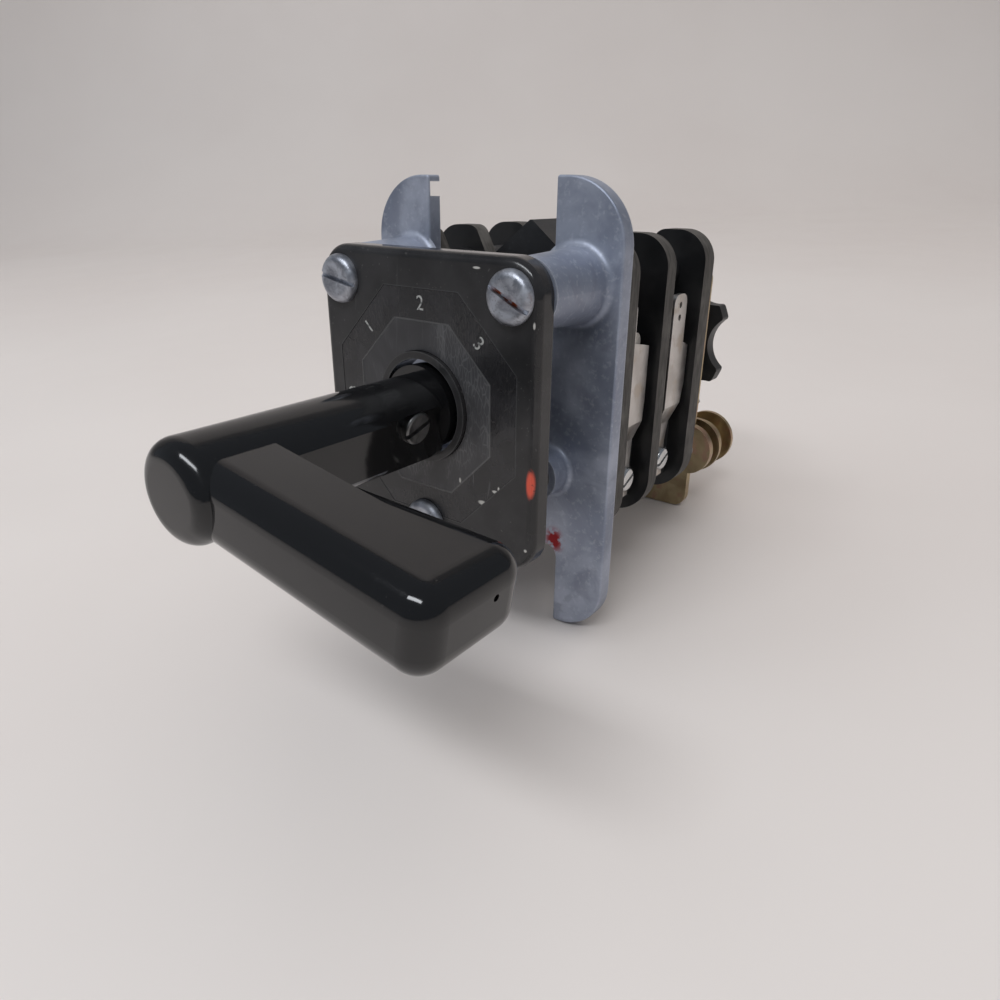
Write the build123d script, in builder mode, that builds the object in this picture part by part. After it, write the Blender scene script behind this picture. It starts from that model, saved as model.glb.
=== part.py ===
from build123d import *
import math
import os

# Rotary cam control switch with a pistol-grip handle, for mounting behind a panel.
# The shaft lies along Y: the handle points to -Y (front), the contact stack to +Y (rear).
# X is to the right and Z is up. The origin is where the shaft axis meets the back face of
# the escutcheon, which is the face that sits on the panel. All sizes are in millimetres.

# --- escutcheon and mounting screws ---
plate_w = 60.0
plate_h = 65.5
plate_t = 5.0
plate_corner = 7.5
plate_rim_round = 1.8
dial_apothem = 25.1
dial_inner_apothem = 18.4
dial_pocket = 0.6
dial_sink = 0.1
collar_r = 12.2
collar_bore_r = 10.6
collar_proud = 0.9
screw_x = 23.6
screw_top_z = 25.4
screw_bottom_z = -27.4
screw_head_r = 5.3
screw_head_h = 2.0
screw_rim_left = 0.3
screw_slot_w = 1.0
screw_slot_depth = 1.1
screw_shank_r = 3.15
screw_hole_r = 3.4
screw_reach = 12.0
fit_gap = 0.05
cut_over = 2.0

# --- front frame ---
front = -plate_t
frame_front = 18.2
frame_t = 3.8
frame_half_w = 34.4
frame_top = 46.9
frame_bottom = -57.5
frame_corner = 14.0
frame_foot_corner = 12.0
frame_tip_round = 0.6
frame_inner_round = 3.0
notch_top_half_w = 17.7
notch_bottom_half_w = 21.1
web_top = 14.0
web_bottom = -37.0
post_r = 7.1
post_flare = 0.7
post_foot_round = 1.8
boss_fillet = 1.4
tie_x = 18.3
tie_low_z = -17.0
boss_r = 5.8
boss_h = 6.0
hub_boss_r = 10.5
hub_boss_front = 8.0
bush_r = 7.0
bar_edge_round = 0.5
sprue_z = 43.9
sprue_h = 3.2
sprue_depth = 4.0
frame_back = frame_front + frame_t

# --- insulating barriers ---
barrier_half_w = 34.2
barrier_top = 35.2
barrier_bottom = -32.6
barrier_notch_half_w = 16.8
barrier_notch_z = 17.0
barrier_ear_x = 21.0
barrier_ear_z = 27.0
barrier_ear_round = 7.5
barrier_notch_round = 2.0
barrier_root_round = 3.0
barrier_peak_round = 3.5
barrier_foot_round = 10.0
barrier_bore_r = 9.0
plate_1_back = 26.2
plate_1_t = plate_1_back - frame_back
barrier_1_front = 39.4
barrier_1_t = 4.4
barrier_1_back = barrier_1_front + barrier_1_t
barrier_2_front = 60.2
barrier_2_t = 5.4
barrier_2_back = barrier_2_front + barrier_2_t
insulator_front = 34.6
insulator_back = 65.6
insulator_peak = 37.3
insulator_half_w = 16.2
insulator_shoulder = 25.0
insulator_base = 17.0
insulator_base_round = 2.0
insulator_shoulder_round = 0.5
ridge_half_w = 0.3
ridge_round = 0.25

# --- tie bolts and spacers ---
tie_r = 2.1
tie_hole_r = 2.25
tie_head_r = 3.8
tie_head_h = 3.0
tie_head_seat = 0.6
tie_head_gap = 0.3
tie_end = 1.0
slot_w = 1.1
slot_depth = 1.0
short_tie_sink = 1.5
spacer_r = 4.0
nut_r = 4.0
nut_h = 3.2
nut_chamfer = 0.3
thread_gap = 0.02

# --- shaft, cams and contact arms ---
journal_r = 4.8
spindle_r = 4.0
spindle_front_y = -24.0
journal_front_y = -1.5
sleeve_r = 8.0
end_gap = 0.4
running_gap = 0.05
square_side = 9.0
square_bore = 9.1
rear_journal_r = 4.4
star_square = 6.1
star_square_bore = 6.2
thread_r = 2.9
thread_length = 6.5
shaft_chamfer = 0.5
square_reach = 3.0
rear_shoulder = 1.5
cam_low_r = 13.55
cam_lift = 1.2
cam_t = 5.0
travel_deg = 135.0
arm_pivot_x = 22.0
arm_pivot_z = -9.0
arm_pin_r = 1.5
arm_closed_deg = 7.7
arm_width = 5.0
arm_leaf_t = 1.6
arm_height = 24.5
arm_eye_r = 3.0
follower_x = -6.1
follower_r = 2.0
tip_height = 21.0
tip_r = 2.4
tip_reach = 3.2
fixed_face_x = 28.65
arm_stop_x = 25.4
arm_stop_t = 0.4
arm_stop_h = 14.0
arm_stop_z = -5.9
arm_stop_w = 4.0
follower_inset = 0.4
button_round = 0.4

# --- terminals ---
strap_x = 31.0
strap_t = 1.2
strap_w = 10.0
strap_insets = [2.0, 0.8]
strap_shoulders = [12.4, 9.0]
tab_widths = [3.0, 7.0]
tab_rounds = [1.2, 2.4]
tab_hole_r = 0.75
tab_hole_z = 16.9
tab_hole_pitch = 3.0
strap_top = 21.0
shoulder_slope = 1.6
strap_jog = 2.0
strap_bend_top = -7.0
strap_bend_h = 5.0
strap_bend_inside = 0.5
taper_top = -2.0
taper_foot = -17.0
taper_half_w = 3.4
strap_bottom = -26.5
terminal_z = -21.0
terminal_head_r = 3.0
terminal_head_h = 2.0
terminal_head_round = 0.8
terminal_slot_w = 0.9
block_inner_x = 22.6
block_mid_z = -20.4
block_h = 15.0

# --- handle ---
droop_deg = 9.2
stem_r = 9.4
stem_drop = 1.9
stem_flat_x = 8.0
stem_rear_y = -6.8
stem_nose_y = -65.0
nose_round = 3.6
grip_front_y = -63.2
grip_length = 54.2
grip_root_rear_y = -48.5
grip_end_rear_y = -39.2
grip_low = -9.6
grip_high = 5.5
grip_round = 4.8
end_hole_r = 0.6
end_hole_depth = 0.8
end_hole_y = -48.2
end_hole_z = 0.0
hub_r = 9.4
hub_rear_y = -2.0
flat_end_y = -46.5
pocket_front_y = -23.0
pocket_rear_y = -8.6
pocket_floor_x = 6.2
pocket_top_z = 3.6
insert_r = 5.4
set_screw_y = -14.6
set_screw_r = 3.5
set_screw_head_h = 1.7
set_screw_shank_r = 2.4
set_screw_round = 0.6
set_screw_slot_depth = 0.9
handle_end_gap = 0.2
screw_wall = 1.0

# --- rear bearing and detent ---
rear_plate_front = 92.0
rear_plate_t = 2.5
rear_plate_back = rear_plate_front + rear_plate_t
rear_plate_half_w = 23.0
rear_plate_top = 24.0
rear_plate_bottom = -51.0
rear_plate_corner = 4.0
rear_screw_length = 16.0
rear_screw_round = 1.4
housing_half = 22.8
housing_chamfer = 5.0
housing_bore_r = 9.6
rear_bush_r = 6.5
rear_bush_front = 91.0
rear_bush_back = 98.0
ear_r = 8.0
tie_high_z = 17.0
star_front = 103.0
star_t = 4.5
star_tip_r = 25.5
star_scallop_r = 9.2
star_scallop_centre = 29.5
star_points = 8
star_tip_round = 1.0
washer_r = 6.4
washer_t = 1.0
shaft_nut_r = 4.8
pivot_x = 21.5
pivot_z = -31.5
spool_flange_r = 8.6
spool_hub_r = 5.6
spool_drum_r = 5.0
spool_near_y = 98.0
spool_far_y = 108.0
spool_flange_t = 1.5
spool_screw_r = 2.4
pivot_head_r = 4.2
pivot_head_h = 2.4
pivot_head_round = 1.0
detent_arm_front = 100.0
detent_arm_t = 2.4
arm_ring_r = 7.6
arm_tail_r = 3.0
arm_neck_r = 4.4
roller_x = -1.0
roller_r = 4.0
roller_front = 102.9
roller_w = 4.5
roller_z = -30.2
roller_pin_r = 1.5
pin_head_r = 2.4
pin_head_h = 0.8
pin_gap = 0.3
spring_x = -11.8
spring_post_z = 6.0
spring_r = 2.4
spring_y = 98.4
spring_wall = 0.8
spring_low_z = -26.5
spring_high_z = 4.4
spring_stub_r = 1.6
spring_stub_over = 0.4


def section(back_y, x=0.0, z=0.0, turn=0.0):
    """Plane across the shaft at back_y. It faces the front, so extrude() grows towards -Y."""
    c = math.cos(math.radians(turn))
    s = math.sin(math.radians(turn))
    return Plane(origin=(x, back_y, z), x_dir=(c, 0, -s), z_dir=(0, -1, 0))


def both_sides(half):
    """A right-hand half outline of (x, z, corner radius), completed by its mirror image."""
    full = half + [(-x, z, r) for x, z, r in reversed(half)]
    return [(x, z) for x, z, r in full], [r for x, z, r in full]


def plate(outline, back_y, depth):
    """Flat plate across the shaft, from a half outline with rounded corners."""
    points, radii = both_sides(outline)
    with BuildPart() as made:
        with BuildSketch(section(back_y)):
            with BuildLine():
                FilletPolyline(*points, radius=radii, close=True)
            make_face()
        extrude(amount=depth)
    return made.part


def disc(back_y, depth, radius, x=0.0, z=0.0, hole=0.0):
    """Round solid along the shaft direction, with an optional hole."""
    with BuildPart() as made:
        with BuildSketch(section(back_y, x, z)):
            Circle(radius)
            if hole:
                Circle(hole, mode=Mode.SUBTRACT)
        extrude(amount=depth)
    return made.part


def discs(points, back_y, depth, radius, hole=0.0):
    """A group of identical round solids along the shaft direction."""
    with BuildPart() as made:
        for x, z in points:
            add(disc(back_y, depth, radius, x, z, hole))
    return made.part


def save(part, name):
    part.label = name
    export_step(part, f"parts/{name}.step")


os.makedirs("parts", exist_ok=True)

mounting_points = [(-screw_x, screw_top_z), (screw_x, screw_top_z), (0.0, screw_bottom_z)]
lower_ties = [(-tie_x, tie_low_z), (tie_x, tie_low_z)]
upper_ties = [(-screw_x, screw_top_z), (screw_x, screw_top_z)]
rear_ties = [(-tie_x, tie_high_z), (tie_x, tie_high_z)]
stages = [(plate_1_back, barrier_1_front), (barrier_1_back, barrier_2_front)]
tie_front = frame_front - boss_h + tie_head_h + tie_head_seat
short_tie_front = frame_front - short_tie_sink

# =====================================================================
# Front: escutcheon, dial and mounting screws
# =====================================================================
with BuildPart() as escutcheon:
    with BuildSketch(section(0.0)):
        RectangleRounded(plate_w, plate_h, plate_corner)
    extrude(amount=plate_t)
    fillet(escutcheon.faces().sort_by(Axis.Y)[0].edges(), plate_rim_round)
    with BuildSketch(section(front + dial_pocket)):
        RegularPolygon(dial_apothem, 8, major_radius=False, rotation=22.5)
    extrude(amount=dial_pocket, mode=Mode.SUBTRACT)
    with BuildSketch(section(0.0)):
        Circle(collar_r)
    extrude(amount=plate_t + collar_proud)
    with BuildSketch(section(0.0)):
        Circle(collar_bore_r)
        with Locations(*mounting_points):
            Circle(screw_hole_r)
    extrude(amount=plate_t + collar_proud, mode=Mode.SUBTRACT)
save(escutcheon.part, "escutcheon")

with BuildPart() as dial_plate:
    with BuildSketch(section(front + dial_pocket)):
        RegularPolygon(dial_apothem - fit_gap, 8, major_radius=False, rotation=22.5)
        Circle(collar_r + dial_sink, mode=Mode.SUBTRACT)
        with Locations((0.0, screw_bottom_z)):
            Circle(screw_hole_r + dial_sink, mode=Mode.SUBTRACT)
    extrude(amount=dial_pocket - dial_sink)
    with BuildSketch(section(front + 2 * dial_sink)):
        RegularPolygon(dial_inner_apothem, 8, major_radius=False, rotation=22.5)
    extrude(amount=dial_sink, mode=Mode.SUBTRACT)
save(dial_plate.part, "dial_plate")

slot_turns = [11.0, 27.0, -18.0]
with BuildPart() as mounting_screws:
    for point in mounting_points:
        with BuildSketch(section(front, *point)):
            Circle(screw_head_r)
        extrude(amount=screw_head_h)
    head_rims = mounting_screws.edges().filter_by(GeomType.CIRCLE).group_by(Axis.Y)[0]
    fillet(head_rims, screw_head_h - screw_rim_left)
    for point in mounting_points:
        with BuildSketch(section(screw_reach, *point)):
            Circle(screw_shank_r)
        extrude(amount=screw_reach + plate_t)
    for point, turn in zip(mounting_points, slot_turns):
        with BuildSketch(section(front - screw_head_h + screw_slot_depth, *point, turn)):
            Rectangle(3 * screw_head_r, screw_slot_w)
        extrude(amount=cut_over, mode=Mode.SUBTRACT)
save(mounting_screws.part, "mounting_screws")

# =====================================================================
# Cast front frame: H-shaped plate, three posts, two tie-bolt bosses and a bearing boss
# =====================================================================
frame_outline = [
    (notch_top_half_w, web_top, frame_inner_round),
    (notch_top_half_w, frame_top, frame_tip_round),
    (frame_half_w, frame_top, frame_corner),
    (frame_half_w, frame_bottom, frame_foot_corner),
    (notch_bottom_half_w, frame_bottom, frame_tip_round),
    (notch_bottom_half_w, web_bottom, frame_inner_round),
]


def mounting_post(x, z):
    """Slightly tapered round post on the front of the frame, with a concave foot."""
    root_r = post_r + post_flare
    foot_y = frame_front - post_foot_round
    with BuildPart() as made:
        with BuildSketch(Plane(origin=(x, 0, z), x_dir=(1, 0, 0), z_dir=(0, 0, 1))):
            with BuildLine():
                side = Polyline((0, frame_front), (0, 0), (post_r, 0), (root_r, foot_y))
                foot = JernArc(side @ 1, (0, 1), post_foot_round, -90)
                Line(foot @ 1, side @ 0)
            make_face()
        revolve(axis=Axis((x, 0, z), (0, 1, 0)))
    return made.part


with BuildPart() as front_frame:
    add(plate(frame_outline, frame_back, frame_t))
    fillet(front_frame.faces().sort_by(Axis.Y)[0].edges(), bar_edge_round)
    for x, z in mounting_points:
        add(mounting_post(x, z))
    for x, z in lower_ties:
        with BuildSketch(section(frame_front, x, z)):
            Circle(boss_r)
        extrude(amount=boss_h)
    rims = front_frame.edges().filter_by(GeomType.CIRCLE)
    boss_roots = [e for e in rims if e.radius == boss_r and abs(e.center().Y - frame_front) < 0.01]
    fillet(boss_roots, boss_fillet)
    with BuildSketch(section(frame_front)):
        Circle(hub_boss_r)
    extrude(amount=frame_front - hub_boss_front)
    # bores for the bearing bush, the tie bolts and their heads, and the mounting screws
    with BuildSketch(section(frame_back)):
        Circle(bush_r)
        with Locations(*lower_ties):
            Circle(tie_hole_r)
    extrude(amount=frame_back, mode=Mode.SUBTRACT)
    with BuildSketch(section(tie_front)):
        with Locations(*lower_ties):
            Circle(tie_head_r + tie_head_gap)
    extrude(amount=boss_h, mode=Mode.SUBTRACT)
    with BuildSketch(section(screw_reach + tie_end)):
        with Locations(*mounting_points):
            Circle(screw_shank_r + fit_gap)
    extrude(amount=screw_reach + tie_end, mode=Mode.SUBTRACT)
    with BuildSketch(section(frame_back)):
        with Locations(*upper_ties):
            Circle(tie_hole_r)
    extrude(amount=frame_back - short_tie_front, mode=Mode.SUBTRACT)
    # a sprue notch in the rear half of the left wing's inner edge
    with BuildSketch(section(frame_back, -notch_top_half_w, sprue_z)):
        Rectangle(2 * sprue_depth, sprue_h)
    extrude(amount=frame_t - bar_edge_round, mode=Mode.SUBTRACT)
save(front_frame.part, "front_frame")

bush_bore_r = journal_r + running_gap
save(disc(frame_back, frame_back - hub_boss_front, bush_r, hole=bush_bore_r), "front_bush")

# =====================================================================
# Insulating barriers: three laminated plates with two ears and a notch at the top
# =====================================================================
barrier_outline = [
    (barrier_notch_half_w, barrier_notch_z, barrier_notch_round),
    (barrier_notch_half_w, barrier_ear_z, barrier_root_round),
    (barrier_ear_x, barrier_top, barrier_peak_round),
    (barrier_half_w, barrier_top, barrier_ear_round),
    (barrier_half_w, barrier_bottom, barrier_foot_round),
]
barriers = [
    ("front_insulating_plate", plate_1_back, plate_1_t),
    ("middle_barrier", barrier_1_back, barrier_1_t),
    ("rear_barrier", barrier_2_back, barrier_2_t),
]
for name, back_y, depth in barriers:
    with BuildPart() as barrier:
        add(plate(barrier_outline, back_y, depth))
        with BuildSketch(section(back_y)):
            Circle(barrier_bore_r)
            with Locations(*(lower_ties + upper_ties)):
                Circle(tie_hole_r)
            with Locations((-arm_pivot_x, arm_pivot_z), (arm_pivot_x, arm_pivot_z)):
                Circle(arm_pin_r + running_gap)
        extrude(amount=depth, mode=Mode.SUBTRACT)
    save(barrier.part, name)

insulator_outline = [
    (insulator_half_w, insulator_base, insulator_base_round),
    (insulator_half_w, insulator_shoulder, insulator_shoulder_round),
    (ridge_half_w, insulator_peak, ridge_round),
]
with BuildPart() as top_insulator:
    add(plate(insulator_outline[::-1], insulator_back, insulator_back - insulator_front))
save(top_insulator.part, "top_insulator")

# =====================================================================
# Tie bolts, nuts and the spacers of the two contact stages
# =====================================================================
long_tie_back = rear_plate_back + nut_h + tie_end
with BuildPart() as long_tie_bolts:
    for x, z in lower_ties:
        add(disc(long_tie_back, long_tie_back - tie_front, tie_r, x, z))
        add(disc(tie_front, tie_head_h, tie_head_r, x, z))
        with BuildSketch(section(tie_front - tie_head_h + slot_depth, x, z, 35.0)):
            Rectangle(3 * tie_head_r, slot_w)
        extrude(amount=cut_over, mode=Mode.SUBTRACT)
save(long_tie_bolts.part, "long_tie_bolts")

short_tie_back = barrier_2_back + nut_h + tie_end
short_ties = discs(upper_ties, short_tie_back, short_tie_back - short_tie_front, tie_r)
save(short_ties, "short_tie_bolts")


def nuts(points, back_y):
    with BuildPart() as made:
        with BuildSketch(section(back_y)):
            with Locations(*points):
                RegularPolygon(nut_r, 6)
                Circle(tie_r + thread_gap, mode=Mode.SUBTRACT)
        extrude(amount=nut_h)
        rims = made.edges().filter_by(GeomType.LINE).group_by(Axis.Y)[-1]
        chamfer(rims, nut_chamfer)
    return made.part


with BuildPart() as tie_nuts:
    add(nuts(upper_ties, barrier_2_back + nut_h))
    add(nuts(lower_ties, rear_plate_back + nut_h))
save(tie_nuts.part, "tie_nuts")

for number, (gap_front, gap_back) in enumerate(stages, start=1):
    spacers = discs(lower_ties + upper_ties, gap_back, gap_back - gap_front, spacer_r, tie_hole_r)
    save(spacers, f"stage_{number}_spacers")

# =====================================================================
# Rotor: square shaft and two moulded cams
# =====================================================================
shaft_end = star_front + star_t + thread_length
square_front = plate_1_back - square_reach
square_back = rear_plate_front - rear_shoulder
with BuildPart() as cam_shaft:
    add(disc(journal_front_y, journal_front_y - spindle_front_y, spindle_r))
    add(disc(square_front, square_front - journal_front_y, journal_r))
    with BuildSketch(section(square_back)):
        Rectangle(square_side, square_side)
    extrude(amount=square_back - square_front)
    add(disc(star_front, star_front - square_back, rear_journal_r))
    with BuildSketch(section(star_front + star_t)):
        Rectangle(star_square, star_square)
    extrude(amount=star_t)
    add(disc(shaft_end, shaft_end - star_front - star_t, thread_r))
    chamfer(cam_shaft.faces().sort_by(Axis.Y)[-1].edges(), shaft_chamfer)
save(cam_shaft.part, "cam_shaft")


def cam_radius(local_deg, rises):
    """Cam outline. The right followers read 0 to -travel, the left ones 180 - travel to 180."""
    if -travel_deg <= local_deg <= 0:
        part_way = -local_deg / travel_deg
    elif 180 - travel_deg <= local_deg <= 180:
        part_way = (180 - local_deg) / travel_deg
    elif local_deg < 0:
        part_way = 1 - (local_deg + travel_deg) / (travel_deg - 180)
    else:
        part_way = local_deg / (180 - travel_deg)
    return cam_low_r + cam_lift * (part_way if rises else 1 - part_way)


cam_step = 7.5
for number, (gap_front, gap_back) in enumerate(stages, start=1):
    mid_y = (gap_front + gap_back) / 2
    angles = [-180 + cam_step * i for i in range(round(360 / cam_step))]
    rim = []
    for angle in angles:
        radius = cam_radius(angle, rises=number == 1)
        rim.append((radius * math.cos(math.radians(angle)), -radius * math.sin(math.radians(angle))))
    with BuildPart() as cam:
        with BuildSketch(section(mid_y + cam_t / 2)):
            with BuildLine():
                Spline(*rim, periodic=True)
            make_face()
        extrude(amount=cam_t)
        with BuildSketch(section(gap_back - end_gap)):
            Circle(sleeve_r + end_gap)
        extrude(amount=gap_back - gap_front - 2 * end_gap)
        with BuildSketch(section(gap_back)):
            Rectangle(square_bore, square_bore)
        extrude(amount=gap_back - gap_front, mode=Mode.SUBTRACT)
    save(cam.part, f"stage_{number}_cam")

# =====================================================================
# Contact arms, terminals and their fittings, two of each in every stage
# =====================================================================


def arm_plane(side, y, tilt_deg):
    """Plane of one contact arm: origin on its pivot, local x outwards, local y up the arm."""
    c = math.cos(math.radians(tilt_deg))
    s = math.sin(math.radians(tilt_deg))
    origin = (side * arm_pivot_x, y, arm_pivot_z)
    return Plane(origin=origin, x_dir=(side * c, 0, -s), z_dir=(0, -side, 0))


def contact_arm(plane):
    with BuildPart() as made:
        with BuildSketch(plane):
            Circle(arm_eye_r)
            with Locations((0, arm_height / 2)):
                Rectangle(arm_leaf_t, arm_height)
            Circle(arm_pin_r + running_gap, mode=Mode.SUBTRACT)
        extrude(amount=arm_width / 2, both=True)
    return made.part


def follower(plane):
    """Moulded nose that rides on the cam."""
    height = -arm_pivot_z
    neck = -follower_x - arm_leaf_t / 2
    with BuildPart() as made:
        with BuildSketch(plane):
            with Locations((follower_x + neck / 2, height)):
                Rectangle(neck, 2 * follower_r)
            with Locations((follower_x, height)):
                Circle(follower_r)
        extrude(amount=arm_width / 2 - follower_inset, both=True)
    return made.part


def round_contact(centre, direction, radius, length):
    """Silver contact button, slightly rounded at its face."""
    with BuildPart() as made:
        with BuildSketch(Plane(origin=centre, z_dir=direction)):
            Circle(radius)
        extrude(amount=length)
        face = made.faces().filter_by(GeomType.PLANE).sort_by(lambda f: f.center().dot(Vector(direction)))
        fillet(face[-1].edges(), button_round)
    return made.part


sides = [("right", 1), ("left", -1)]
for number, (gap_front, gap_back) in enumerate(stages, start=1):
    mid_y = (gap_front + gap_back) / 2
    tilt = 0.0 if number == 1 else arm_closed_deg
    for side_name, side in sides:
        plane = arm_plane(side, mid_y, tilt)
        save(contact_arm(plane), f"stage_{number}_{side_name}_contact_arm")
        save(follower(plane), f"stage_{number}_{side_name}_follower")
        tip_base = plane.from_local_coords((arm_leaf_t / 2, tip_height))
        tip = round_contact(tip_base, plane.x_dir, tip_r, tip_reach - arm_leaf_t / 2)
        save(tip, f"stage_{number}_{side_name}_moving_contact")

pivots = [(-arm_pivot_x, arm_pivot_z), (arm_pivot_x, arm_pivot_z)]
pin_back = barrier_2_back - tie_end
save(discs(pivots, pin_back, pin_back - frame_back - tie_end, arm_pin_r), "arm_pivot_pins")

strap_profile = [
    (strap_x, strap_top),
    (strap_x + strap_t, strap_top),
    (strap_x + strap_t, strap_bend_top),
    (strap_x + strap_t - strap_jog, strap_bend_top - strap_bend_h),
    (strap_x + strap_t - strap_jog, strap_bottom),
    (strap_x - strap_jog, strap_bottom),
    (strap_x - strap_jog, strap_bend_top - strap_bend_h - strap_bend_inside),
    (strap_x, strap_bend_top - strap_bend_inside),
]
block_face_x = strap_x - strap_jog
for number, (gap_front, gap_back) in enumerate(stages, start=1):
    mid_y = (gap_front + gap_back) / 2
    depth = gap_back - gap_front
    shoulder = strap_shoulders[number - 1]
    strap_back = gap_back - strap_insets[number - 1]
    strap_front = strap_back - strap_w
    tab_back = strap_front + tab_widths[number - 1]
    beyond = strap_back + tie_end
    for side_name, side in sides:
        strap_face = Plane(origin=(side * strap_x, 0, 0), x_dir=(0, 1, 0), z_dir=(1, 0, 0))
        with BuildPart() as strap:
            with BuildSketch(section(strap_back)):
                Polygon(*[(side * x, z) for x, z in strap_profile], align=None)
            extrude(amount=strap_back - strap_front)
            # above the shoulder only the solder tab is left, and the foot narrows to the screw
            with BuildSketch(strap_face):
                Polygon(
                    (tab_back, shoulder),
                    (beyond, shoulder - shoulder_slope),
                    (beyond, strap_top + tie_end),
                    (tab_back, strap_top + tie_end),
                    align=None,
                )
                Polygon(
                    (strap_back, taper_top),
                    (beyond, taper_top),
                    (beyond, strap_bottom - tie_end),
                    (mid_y + taper_half_w, strap_bottom - tie_end),
                    (mid_y + taper_half_w, taper_foot),
                    align=None,
                )
            extrude(amount=3 * strap_t, both=True, mode=Mode.SUBTRACT)
            tab_edges = strap.edges().filter_by(Axis.X).group_by(Axis.Z)[-1]
            fillet(tab_edges, tab_rounds[number - 1])
            hole_y = (strap_front + tab_back) / 2
            for z in (tab_hole_z - tab_hole_pitch / 2, tab_hole_z + tab_hole_pitch / 2):
                with BuildSketch(Plane(origin=(side * strap_x, hole_y, z), z_dir=(1, 0, 0))):
                    Circle(tab_hole_r)
                extrude(amount=2 * strap_t, both=True, mode=Mode.SUBTRACT)
        save(strap.part, f"stage_{number}_{side_name}_terminal_strap")

    with BuildPart() as blocks:
        for side_name, side in sides:
            block_x = side * (block_face_x + block_inner_x) / 2
            with BuildSketch(section(gap_back, block_x, block_mid_z)):
                Rectangle(block_face_x - block_inner_x, block_h)
            extrude(amount=depth)
    save(blocks.part, f"stage_{number}_terminal_blocks")

    with BuildPart() as fixed_contacts:
        for side_name, side in sides:
            centre = (side * strap_x, mid_y, arm_pivot_z + tip_height)
            add(round_contact(centre, (-side, 0, 0), tip_r, strap_x - fixed_face_x))
    save(fixed_contacts.part, f"stage_{number}_fixed_contacts")

    with BuildPart() as terminal_screws:
        for side_name, side in sides:
            base = Plane(origin=(side * (block_face_x + strap_t), mid_y, terminal_z), z_dir=(side, 0, 0))
            with BuildSketch(base):
                Circle(terminal_head_r)
            extrude(amount=terminal_head_h)
        rims = terminal_screws.edges().filter_by(GeomType.CIRCLE)
        outer = [e for e in rims if abs(e.center().X) > block_face_x + strap_t + terminal_head_h / 2]
        fillet(outer, terminal_head_round)
        for side_name, side in sides:
            slot_x = side * (block_face_x + strap_t + terminal_head_h)
            with BuildSketch(Plane(origin=(slot_x, mid_y, terminal_z), z_dir=(side, 0, 0))):
                Rectangle(terminal_slot_w, 3 * terminal_head_r, rotation=25)
            extrude(amount=terminal_slot_w, both=True, mode=Mode.SUBTRACT)
    save(terminal_screws.part, f"stage_{number}_terminal_screws")

    with BuildPart() as leaves:
        for side_name, side in sides:
            leaf_x = side * (arm_stop_x + arm_stop_t / 2)
            with BuildSketch(section(mid_y + arm_stop_w / 2, leaf_x, arm_stop_z)):
                Rectangle(arm_stop_t, arm_stop_h)
            extrude(amount=arm_stop_w)
    save(leaves.part, f"stage_{number}_arm_stops")

# =====================================================================
# Handle: stem along the shaft, round nose, and a grip that points to the right
# =====================================================================
turn = math.radians(droop_deg)
grip_up = (math.sin(turn), 0, math.cos(turn))
grip_out = (math.cos(turn), 0, -math.sin(turn))


def stem_section(back_y):
    """Plane across the stem, turned with the grip: local x along the grip, local y above it."""
    return section(back_y, 0.0, 0.0, droop_deg)


with BuildPart() as handle:
    grip_plane = Plane(origin=(0, 0, 0), x_dir=grip_out, z_dir=grip_up)
    with BuildSketch(grip_plane.offset(grip_low)):
        Polygon(
            (0, grip_front_y),
            (grip_length, grip_front_y),
            (grip_length, grip_end_rear_y),
            (stem_flat_x, grip_root_rear_y),
            (0, grip_root_rear_y),
            align=None,
        )
    extrude(amount=grip_high - grip_low)
    rounded = []
    for edge in handle.edges():
        at_end = grip_plane.to_local_coords(edge.center()).X > grip_length - fit_gap
        if at_end or edge.length > grip_length * 2 / 3:
            rounded.append(edge)
    fillet(rounded, grip_round)
    with BuildSketch(stem_section(stem_rear_y)):
        with Locations((0, -stem_drop)):
            Circle(stem_r)
    extrude(amount=stem_rear_y - stem_nose_y)
    fillet(handle.faces().sort_by(Axis.Y)[0].edges(), nose_round)
    with BuildSketch(stem_section(stem_rear_y)):
        with Locations((stem_flat_x + stem_r, 0), (-stem_flat_x - stem_r, 0)):
            Rectangle(2 * stem_r, 4 * stem_r)
    extrude(amount=stem_rear_y - flat_end_y, mode=Mode.SUBTRACT)
    with BuildSketch(stem_section(hub_rear_y)):
        Circle(hub_r)
    extrude(amount=hub_rear_y - stem_rear_y)
    with BuildSketch(stem_section(pocket_rear_y)):
        with Locations((pocket_floor_x + stem_r, pocket_top_z - stem_r)):
            Rectangle(2 * stem_r, 2 * stem_r)
    extrude(amount=pocket_rear_y - pocket_front_y, mode=Mode.SUBTRACT)
    with BuildSketch(stem_section(hub_rear_y)):
        Circle(insert_r)
    extrude(amount=hub_rear_y - spindle_front_y + handle_end_gap, mode=Mode.SUBTRACT)
    screw_axis = Plane(origin=(0, set_screw_y, 0), x_dir=(0, 1, 0), z_dir=grip_out)
    with BuildSketch(screw_axis):
        Circle(set_screw_shank_r + fit_gap)
    extrude(amount=pocket_floor_x + screw_wall, mode=Mode.SUBTRACT)
    # small hole in the grip's end face
    end_face = Plane(origin=(0, 0, 0), x_dir=(0, 1, 0), z_dir=grip_out).offset(grip_length - end_hole_depth)
    with BuildSketch(end_face):
        with Locations((end_hole_y, end_hole_z)):
            Circle(end_hole_r)
    extrude(amount=cut_over, mode=Mode.SUBTRACT)
save(handle.part, "handle")

with BuildPart() as handle_insert:
    with BuildSketch(stem_section(hub_rear_y)):
        Circle(insert_r)
        Circle(spindle_r, mode=Mode.SUBTRACT)
    extrude(amount=hub_rear_y - spindle_front_y)
    with BuildSketch(screw_axis):
        Circle(set_screw_shank_r + fit_gap)
    extrude(amount=pocket_floor_x + screw_wall, mode=Mode.SUBTRACT)
save(handle_insert.part, "handle_insert")

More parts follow.
